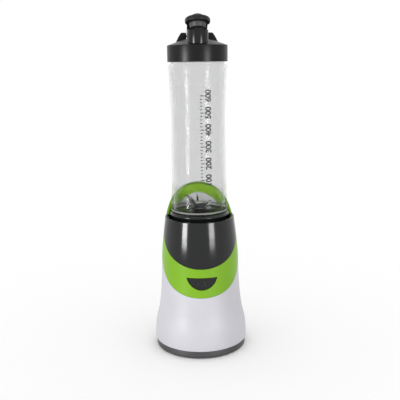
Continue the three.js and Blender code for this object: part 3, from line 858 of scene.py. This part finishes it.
def build_lid():
    cap = lathe(
        "lid_shell",
        [
            (33.3, 346.7, 0.2), (LID_R, 346.7, 0.5), (LID_R, 365.4, 0.55), (14, LID_TOP, 2.5),
            (0, LID_TOP), (0, 370.3), (14, 370.3, 1.5), (29.5, 365.03, 0.5), (29.5, 362.7),
            (33.3, 362.7),
        ],
        LID, "lid", 176,
    )
    bore = lathe(
        "bore_tool", [(0, 355), (SPOUT_BORE, 355), (SPOUT_BORE, 395), (0, 395)], LID, "lid",
        96, at(0, SPOUT_Y),
    )
    cut_away(cap, bore)
    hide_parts("lid_cap")
    tube = lathe(
        "spout",
        [
            (SPOUT_BORE, 365.8), (11.2, 365.8), (SPOUT_R, 366.6, 0.7), (SPOUT_R, SPOUT_TOP, 0.7),
            (SPOUT_BORE, SPOUT_TOP, 0.4),
        ],
        SPOUT, "lid", 112, at(0, SPOUT_Y),
    )
    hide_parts("lid_cap")
    tab = [(4.8, 368.2), (15.2, 368.2)]
    half_turn = [math.pi * k / 16 for k in range(17)]
    tab += [(PIN_Y + 3.9 * math.cos(a), PIN_Z + 3.9 * math.sin(a)) for a in half_turn]
    for side in (-1, 1):
        ear = prism(
            f"hinge_ear_{side + 1}", tab, 12.4 * side, 0, "X", LID, "lid", 0.45,
            tilt=lambda y, z: side * min(25.2, 24.7 - (z - 371) * 6.4 / 9.2),
        )
        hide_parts("lid_cap")
    pin = lathe(
        "pin", [(0, -19.6), (PIN_R, -19.6, 0.3), (PIN_R, 19.6, 0.3), (0, 19.6)], STEEL, "lid",
        32, at(0, PIN_Y, PIN_Z) @ Matrix.Rotation(math.pi / 2, 4, "Y"),
    )
    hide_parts("hinge_pin")


def build_stopper():
    tilt = about_pin(STOPPER_OPEN)
    top = SPOUT_TOP
    disc = lathe(
        "stopper_head",
        [
            (0, top - 3.3), (6.2, top - 3.3, 0.4), (6.2, top + 0.3), (14.3, top + 0.3, 0.7),
            (14.5, top + 4.1, 0.8), (13.2, top + 5.8, 1.2), (6.5, top + 7.5, 0.8),
            (6.0, top + 9.0, 0.5), (4.8, top + 9.7, 0.9), (0, top + 9.7),
        ],
        GRIP, "stopper", 112, tilt @ at(0, SPOUT_Y),
    )
    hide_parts("stopper_cap")
    arm = prism(
        "stopper_arm",
        [
            (-12, top + 0.4), (-6, top + 0.4, 1.2), (8.2, 373.9, 0.4), (12.5, 378.0, 0.4),
            (1, top + 3.3, 2.5), (-12, top + 3.3),
        ],
        -HINGE_HALF, HINGE_HALF, "X", GRIP, "stopper", 0.5, tilt,
    )
    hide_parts("stopper_cap")
    knuckle = lathe(
        "knuckle",
        [
            (1.7, -HINGE_HALF, 0.1), (3.2, -HINGE_HALF, 0.4), (3.2, HINGE_HALF, 0.4),
            (1.7, HINGE_HALF, 0.1),
        ],
        GRIP, "stopper", 64,
        tilt @ at(0, PIN_Y, PIN_Z) @ Matrix.Rotation(math.pi / 2, 4, "Y"),
    )
    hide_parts("stopper_cap")
    plug = lathe(
        "plug_ring",
        [(6.5, top - 5.6, 0.3), (8.4, top - 5.6, 0.6), (8.9, top - 3.6, 0.5), (9.2, top - 2.6, 0.3),
         (9.6, top - 0.2, 0.3), (6.5, top - 0.2)],
        SILICONE, "stopper", 96, tilt @ at(0, SPOUT_Y),
    )
    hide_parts("plug_seal")


# ---------- carried-over pieces, stage, light and camera ----------


def paint_frame():
    """Gives the CAD pieces that are carried over the materials of their slots."""
    slots = {s["node"]: s["material_slot"] for s in frame["record"]["subparts"]}
    for node, obj in frame["nodes"].items():
        obj.data.materials.clear()
        obj.data.materials.append(SLOTS[slots[node]])


def softbox(name, unlit, azimuth, distance, z, width, height, power):
    """A lamp aimed at the middle of the blender. It leaves the objects in unlit alone."""
    light = bpy.data.lights.new(name, "AREA")
    light.shape = "RECTANGLE"
    light.size, light.size_y = width, height
    light.energy = power
    obj = bpy.data.objects.new(name, light)
    bpy.context.scene.collection.objects.link(obj)
    obj.visible_camera = False
    obj.visible_transmission = False
    obj.light_linking.receiver_collection = unlit
    a = math.radians(azimuth)
    obj.location = (distance * math.sin(a), -distance * math.cos(a), z)
    aim = Vector((0, 0, 0.2)) - obj.location
    obj.rotation_euler = aim.to_track_quat("-Z", "Y").to_euler()


def build_stage():
    """A pale floor under an even white sky, and two softboxes that don't light the floor."""
    floor = bpy.data.meshes.new("floor")
    floor.from_pydata([(-9, -9, 0), (9, -9, 0), (9, 9, 0), (-9, 9, 0)], [], [(0, 1, 2, 3)])
    mat = bpy.data.materials.new("floor_white")
    mat.use_nodes = True
    bsdf = mat.node_tree.nodes["Principled BSDF"]
    bsdf.inputs["Base Color"].default_value = (0.985, 0.985, 0.985, 1)
    bsdf.inputs["Roughness"].default_value = 0.9
    bsdf.inputs["Specular IOR Level"].default_value = 0.0
    floor.materials.append(mat)
    obj = bpy.data.objects.new("floor", floor)
    bpy.context.scene.collection.objects.link(obj)
    world = bpy.data.worlds.new("studio")
    bpy.context.scene.world = world
    world.use_nodes = True
    sky = world.node_tree.nodes["Background"]
    sky.inputs["Color"].default_value = (1, 1, 1, 1)
    sky.inputs["Strength"].default_value = 1.02
    unlit = bpy.data.collections.new("unlit_by_softboxes")
    unlit.objects.link(obj)
    unlit.collection_objects[0].light_linking.link_state = "EXCLUDE"
    softbox("softbox_left", unlit, -50, 1.3, 0.235, 0.34, 0.42, 12.2)
    softbox("softbox_right", unlit, 35, 1.4, 0.235, 0.40, 0.40, 8.2)
    bpy.context.scene.view_settings.view_transform = "Standard"


def build_camera():
    """Pinhole camera in front, a little left of and above the blender, rolled slightly."""
    data = bpy.data.cameras.new("camera")
    data.lens = 58.86
    data.sensor_width = 36
    data.shift_x = 0.00175
    data.clip_end = 50
    cam = bpy.data.objects.new("camera", data)
    bpy.context.scene.collection.objects.link(cam)
    azimuth, pitch, roll = math.radians(-2.5), math.radians(11.915), math.radians(0.76)
    distance, height = 0.7785, 0.3464
    cam.location = (distance * math.sin(azimuth), -distance * math.cos(azimuth), height)
    level = math.cos(pitch)
    forward = Vector((-math.sin(azimuth) * level, math.cos(azimuth) * level, -math.sin(pitch)))
    right = forward.cross(Vector((0, 0, 1))).normalized()
    up = right.cross(forward)
    up_rolled = up * math.cos(roll) + right * math.sin(roll)
    right_rolled = forward.cross(up_rolled)
    turn = Matrix((right_rolled, up_rolled, -forward)).transposed()
    cam.rotation_euler = turn.to_euler()
    bpy.context.scene.camera = cam


paint_frame()
build_base()
build_button()
build_bottle()
build_blades()
build_lid()
build_stopper()
build_stage()
build_camera()
